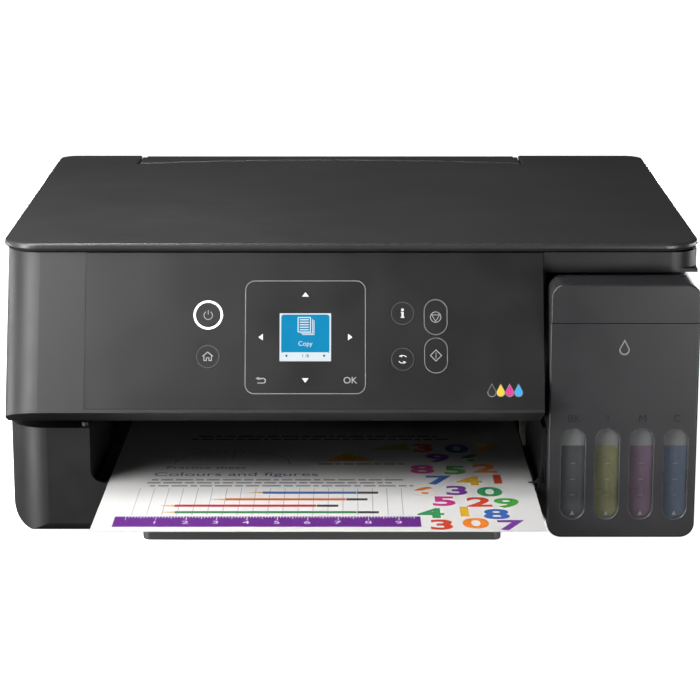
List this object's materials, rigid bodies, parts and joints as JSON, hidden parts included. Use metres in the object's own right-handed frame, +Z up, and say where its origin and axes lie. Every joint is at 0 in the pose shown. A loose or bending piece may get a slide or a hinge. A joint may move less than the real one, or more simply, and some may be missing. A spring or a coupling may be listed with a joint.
{
  "type": "inkjet printer",
  "caption": "All-in-one inkjet printer with a flatbed scanner, leaning control panel with a colour display, paper output tray, rear feeder and a side unit of refillable ink tanks.",
  "frame": {"origin": "centre of the footprint box, on the surface the feet stand on", "axes": "+Z up, -Y towards the control panel and paper output, +X towards the ink tanks"},
  "size_m": [0.39, 0.4166, 0.166],
  "materials": {
    "body_plastic": "satin",
    "lid_plastic": "satin",
    "panel_plastic": "satin",
    "frame_plastic": "satin",
    "tank_plastic": "satin",
    "inner_plastic": "matte",
    "key_plastic": "satin",
    "tray_plastic": "satin",
    "rubber": "matte",
    "steel": "satin",
    "pressed_steel": "satin",
    "clear_plastic": "gloss",
    "ink": "gloss",
    "glass": "gloss",
    "white_pad": "matte",
    "paper": "matte",
    "screen": "gloss",
    "board": "satin",
    "felt": "matte",
    "white_plastic": "satin",
    "belt_rubber": "matte",
    "cap_black": "satin",
    "cap_yellow": "satin",
    "cap_magenta": "satin",
    "cap_cyan": "satin"
  },
  "bodies": {
    "base": {"lower_case": "body_plastic", "rubber_feet": "rubber", "rear_cover": "body_plastic", "chassis_frame": "pressed_steel", "carriage_rail": "steel", "platen": "inner_plastic", "waste_ink_pad": "felt", "capping_station": "white_plastic", "power_supply": "inner_plastic", "main_board": "board", "rear_sockets": "inner_plastic", "drive_motors": "steel", "case_screws": "steel", "carriage_belt": "belt_rubber", "rear_feeder": "inner_plastic", "tank_housing": "tank_plastic", "ink_tanks": "clear_plastic", "ink_fill": "ink", "ink_tubes": "clear_plastic"},
    "carriage": {"print_carriage": "inner_plastic", "print_head": "steel"},
    "scanner_unit": {"scanner_housing": "body_plastic", "scanner_glass": "glass", "panel_frame": "frame_plastic", "control_panel": "panel_plastic", "lcd_module": "screen", "lid_hinges": "inner_plastic"},
    "cover": {"document_cover": "lid_plastic", "lid_pad": "white_pad"},
    "feed_roller": {"feed_roller": "rubber"},
    "motor_pinion": {"motor_pinion": "white_plastic"},
    "eject_roller": {"eject_roller": "rubber"},
    "pinch_rollers": {"pinch_rollers": "white_plastic"},
    "star_wheels": {"star_wheels": "steel"},
    "drive_pulley": {"drive_pulley": "white_plastic"},
    "idler_pulley": {"idler_pulley": "white_plastic"},
    "hopper_plate": {"hopper_plate": "inner_plastic"},
    "pickup_roller": {"pickup_roller": "rubber"},
    "edge_guide_left": {"edge_guide_left": "key_plastic"},
    "edge_guide_right": {"edge_guide_right": "key_plastic"},
    "guide_pinion": {"guide_pinion": "white_plastic"},
    "paper_support": {"paper_support": "body_plastic"},
    "support_extension": {"support_extension": "body_plastic"},
    "rear_feed_cover": {"rear_feed_cover": "lid_plastic"},
    "paper_sheet": {"paper_sheet": "paper"},
    "output_tray": {"output_tray": "tray_plastic"},
    "tray_extension": {"tray_extension": "tray_plastic"},
    "tank_cover": {"tank_cover": "tank_plastic"},
    "scan_module": {"scan_module": "inner_plastic"},
    "nav_pad": {"nav_pad": "panel_plastic"},
    "tank_cap_black": {"tank_cap_black": "cap_black"},
    "tank_cap_yellow": {"tank_cap_yellow": "cap_yellow"},
    "tank_cap_magenta": {"tank_cap_magenta": "cap_magenta"},
    "tank_cap_cyan": {"tank_cap_cyan": "cap_cyan"},
    "power_button": {"power_button": "key_plastic"},
    "home_button": {"home_button": "key_plastic"},
    "info_button": {"info_button": "key_plastic"},
    "settings_button": {"settings_button": "key_plastic"},
    "stop_button": {"stop_button": "key_plastic"},
    "start_button": {"start_button": "key_plastic"}
  },
  "joints": [
    {"name": "feed_roller_spin", "type": "hinge", "parent": "base", "child": "feed_roller", "pos_m": [0, 0.098, 0.039], "axis": [1, 0, 0], "continuous": true},
    {"name": "motor_pinion_spin", "type": "hinge", "parent": "base", "child": "motor_pinion", "pos_m": [-0.185, 0.121, 0.039], "axis": [1, 0, 0], "continuous": true},
    {"name": "eject_roller_spin", "type": "hinge", "parent": "base", "child": "eject_roller", "pos_m": [0, 0.032, 0.0405], "axis": [1, 0, 0], "continuous": true},
    {"name": "pinch_rollers_spin", "type": "hinge", "parent": "base", "child": "pinch_rollers", "pos_m": [0, 0.098, 0.0493], "axis": [1, 0, 0], "continuous": true},
    {"name": "star_wheels_spin", "type": "hinge", "parent": "base", "child": "star_wheels", "pos_m": [0, 0.032, 0.0503], "axis": [1, 0, 0], "continuous": true},
    {"name": "pickup_roller_spin", "type": "hinge", "parent": "base", "child": "pickup_roller", "pos_m": [0, 0.14144, 0.08758], "axis": [1, 0, 0], "continuous": true},
    {"name": "carriage_slide", "type": "slide", "parent": "base", "child": "carriage", "axis": [-1, 0, 0], "range_m": [0, 0.28]},
    {"name": "drive_pulley_spin", "type": "hinge", "parent": "base", "child": "drive_pulley", "pos_m": [0.172, 0.098, 0.1], "axis": [0, 1, 0], "range_deg": [0, 3030]},
    {"name": "idler_pulley_spin", "type": "hinge", "parent": "base", "child": "idler_pulley", "pos_m": [-0.168, 0.098, 0.1], "axis": [0, 1, 0], "range_deg": [0, 3030]},
    {"name": "hopper_swing", "type": "hinge", "parent": "base", "child": "hopper_plate", "pos_m": [0, 0.16837, 0.10321], "axis": [-1, 0, 0], "range_deg": [0, 5]},
    {"name": "guide_left_slide", "type": "slide", "parent": "base", "child": "edge_guide_left", "axis": [1, 0, 0], "range_m": [-0.003, 0.06]},
    {"name": "guide_right_slide", "type": "slide", "parent": "base", "child": "edge_guide_right", "axis": [1, 0, 0], "range_m": [-0.06, 0.003]},
    {"name": "guide_pinion_spin", "type": "hinge", "parent": "base", "child": "guide_pinion", "pos_m": [-0.014, 0.17871, 0.12033], "axis": [0, -0.866, 0.5], "range_deg": [-630, 35]},
    {"name": "paper_support_slide", "type": "slide", "parent": "base", "child": "paper_support", "axis": [0, 0.5, 0.866], "range_m": [0, 0.09]},
    {"name": "support_extension_slide", "type": "slide", "parent": "paper_support", "child": "support_extension", "axis": [0, 0.5, 0.866], "range_m": [0, 0.07]},
    {"name": "feed_cover_hinge", "type": "hinge", "parent": "base", "child": "rear_feed_cover", "pos_m": [0, 0.2022, 0.1634], "axis": [-1, 0, 0], "range_deg": [0, 105]},
    {"name": "sheet_slide", "type": "slide", "parent": "base", "child": "paper_sheet", "axis": [0, -0.9987, 0.0501], "range_m": [0, 0.06]},
    {"name": "output_tray_slide", "type": "slide", "parent": "base", "child": "output_tray", "axis": [0, -0.9987, 0.0501], "range_m": [-0.038, 0.006]},
    {"name": "tray_extension_slide", "type": "slide", "parent": "output_tray", "child": "tray_extension", "axis": [0, -0.9987, 0.0501], "range_m": [-0.0515, 0.02]},
    {"name": "tank_cover_hinge", "type": "hinge", "parent": "base", "child": "tank_cover", "pos_m": [0.15075, -0.0972, 0.145], "axis": [-1, 0, 0], "range_deg": [0, 80]},
    {"name": "tank_cap_black_pull", "type": "slide", "parent": "base", "child": "tank_cap_black", "axis": [0, 0, 1], "range_m": [0, 0.006]},
    {"name": "tank_cap_yellow_pull", "type": "slide", "parent": "base", "child": "tank_cap_yellow", "axis": [0, 0, 1], "range_m": [0, 0.006]},
    {"name": "tank_cap_magenta_pull", "type": "slide", "parent": "base", "child": "tank_cap_magenta", "axis": [0, 0, 1], "range_m": [0, 0.006]},
    {"name": "tank_cap_cyan_pull", "type": "slide", "parent": "base", "child": "tank_cap_cyan", "axis": [0, 0, 1], "range_m": [0, 0.006]},
    {"name": "scanner_unit_hinge", "type": "hinge", "parent": "base", "child": "scanner_unit", "pos_m": [0, 0.2025, 0.1555], "axis": [-1, 0, 0], "range_deg": [0, 30]},
    {"name": "scan_module_slide", "type": "slide", "parent": "scanner_unit", "child": "scan_module", "axis": [1, 0, 0], "range_m": [0, 0.26]},
    {"name": "document_cover_hinge", "type": "hinge", "parent": "scanner_unit", "child": "cover", "pos_m": [0, 0.2055, 0.1616], "axis": [-1, 0, 0], "range_deg": [0, 65]},
    {"name": "power_press", "type": "slide", "parent": "scanner_unit", "child": "power_button", "axis": [0, 0.9224, -0.3862], "range_m": [0, 0.0006], "stiffness_N_per_m": 300},
    {"name": "home_press", "type": "slide", "parent": "scanner_unit", "child": "home_button", "axis": [0, 0.9224, -0.3862], "range_m": [0, 0.0006], "stiffness_N_per_m": 300},
    {"name": "info_press", "type": "slide", "parent": "scanner_unit", "child": "info_button", "axis": [0, 0.9224, -0.3862], "range_m": [0, 0.0006], "stiffness_N_per_m": 300},
    {"name": "settings_press", "type": "slide", "parent": "scanner_unit", "child": "settings_button", "axis": [0, 0.9224, -0.3862], "range_m": [0, 0.0006], "stiffness_N_per_m": 300},
    {"name": "stop_press", "type": "slide", "parent": "scanner_unit", "child": "stop_button", "axis": [0, 0.9224, -0.3862], "range_m": [0, 0.0006], "stiffness_N_per_m": 300},
    {"name": "start_press", "type": "slide", "parent": "scanner_unit", "child": "start_button", "axis": [0, 0.9224, -0.3862], "range_m": [0, 0.0006], "stiffness_N_per_m": 300},
    {"name": "nav_press", "type": "slide", "parent": "scanner_unit", "child": "nav_pad", "axis": [0, 0.9224, -0.3862], "range_m": [0, 0.0005], "stiffness_N_per_m": 600}
  ],
  "couplings": [
    {"joint": "motor_pinion_spin", "follows": "feed_roller_spin", "ratio": -2.8333},
    {"joint": "eject_roller_spin", "follows": "feed_roller_spin", "ratio": 1.3333},
    {"joint": "pinch_rollers_spin", "follows": "feed_roller_spin", "ratio": -1.5},
    {"joint": "star_wheels_spin", "follows": "feed_roller_spin", "ratio": -1.2},
    {"joint": "drive_pulley_spin", "follows": "carriage_slide", "rad_per_m": 188.68},
    {"joint": "idler_pulley_spin", "follows": "carriage_slide", "rad_per_m": 188.68},
    {"joint": "guide_right_slide", "follows": "guide_left_slide", "ratio": -1},
    {"joint": "guide_pinion_spin", "follows": "guide_left_slide", "rad_per_m": -181.82}
  ]
}
